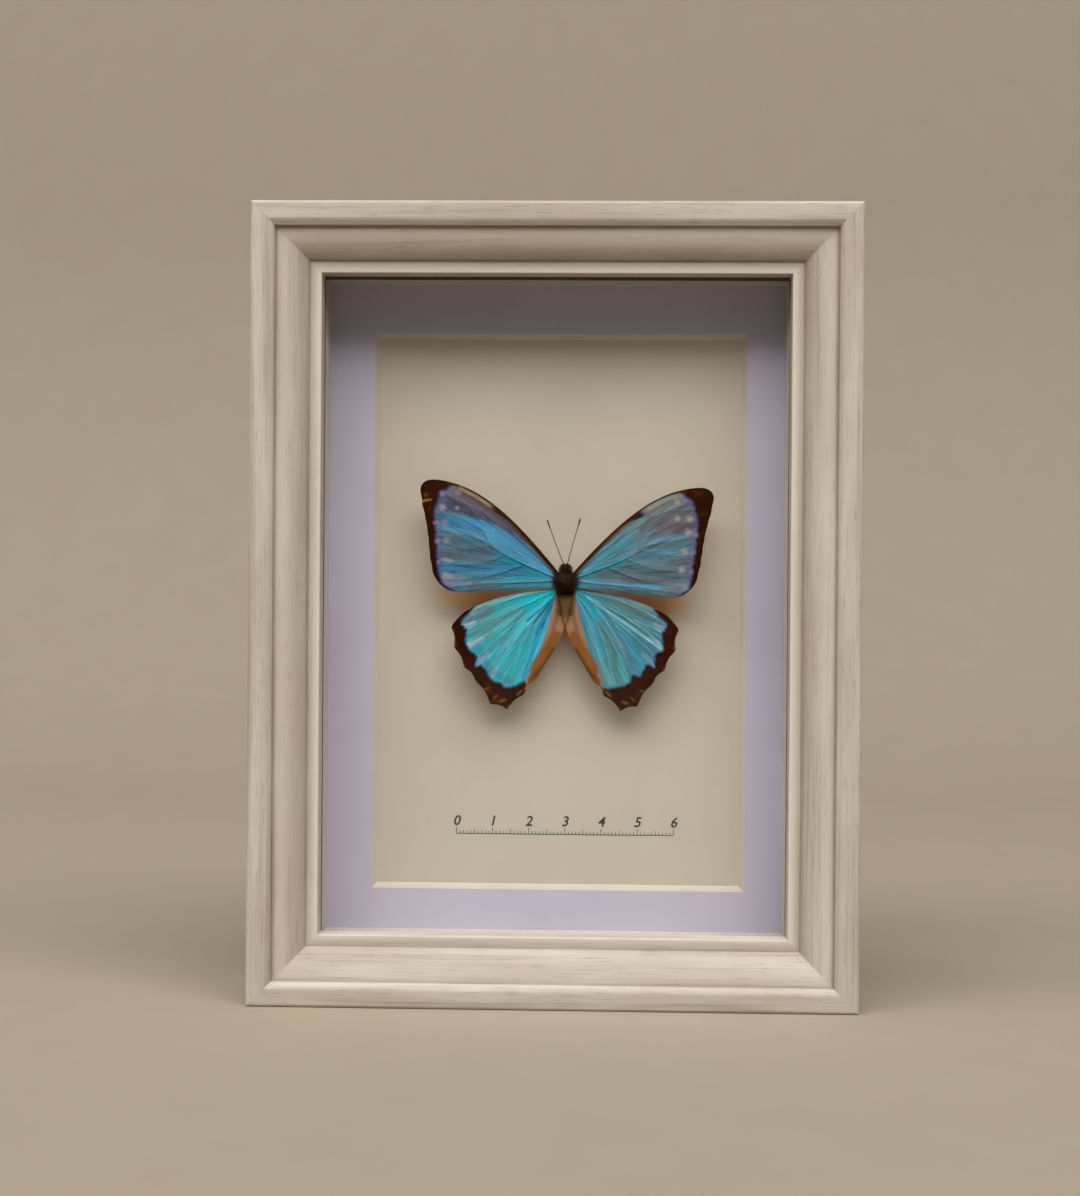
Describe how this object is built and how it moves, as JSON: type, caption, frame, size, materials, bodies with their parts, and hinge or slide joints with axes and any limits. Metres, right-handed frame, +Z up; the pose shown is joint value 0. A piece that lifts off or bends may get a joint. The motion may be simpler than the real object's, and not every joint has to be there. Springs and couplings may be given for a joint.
{
  "type": "framed butterfly specimen",
  "caption": "Deep mitred wooden box frame with glass, a bevelled mat and a blue butterfly with dark wing borders, spread and pinned on card.",
  "frame": {"origin": "middle of the underside of the frame, which stands on its bottom rail", "axes": "+Z up along the frame's height, +X to the right seen from the front, -Y out of the front, +Y out of the back"},
  "size_m": [0.162, 0.036, 0.2136],
  "materials": {
    "wood": "limed beige wood, matt, with fine grain along each rail",
    "glass": "clear float glass",
    "fillet": "lilac-grey board strip, matt",
    "mat": "cool lilac-white mat board with a cream bevel",
    "card": "warm cream card, matt",
    "foam": "white foam board",
    "hardboard": "brown hardboard, smooth side out",
    "steel": "bright zinc-plated steel",
    "forewing": "iridescent sky-blue scales with dark brown tip and border",
    "hindwing": "iridescent turquoise scales with dark brown border",
    "body": "near-black brown hair, tan abdomen",
    "antenna": "dark, slightly glossy"
  },
  "bodies": {
    "root": {"rail_bottom": "wood", "tab_bottom_1": "steel", "tab_bottom_2": "steel", "rail_left": "wood", "tab_left_1": "steel", "tab_left_2": "steel", "rail_top": "wood", "tab_top_1": "steel", "tab_top_2": "steel", "rail_right": "wood", "tab_right_1": "steel", "tab_right_2": "steel", "glass": "glass", "spacer_top": "fillet", "spacer_bottom": "fillet", "spacer_left": "fillet", "spacer_right": "fillet", "mat": "mat", "card": "card", "foam_board": "foam", "backing_board": "hardboard", "hanger": "steel", "rivet_1": "steel", "rivet_2": "steel", "forewing_left": "forewing", "forewing_right": "forewing", "hindwing_left": "hindwing", "hindwing_right": "hindwing", "body": "body", "antenna_left": "antenna", "antenna_right": "antenna", "pin": "steel"}
  },
  "joints": []
}
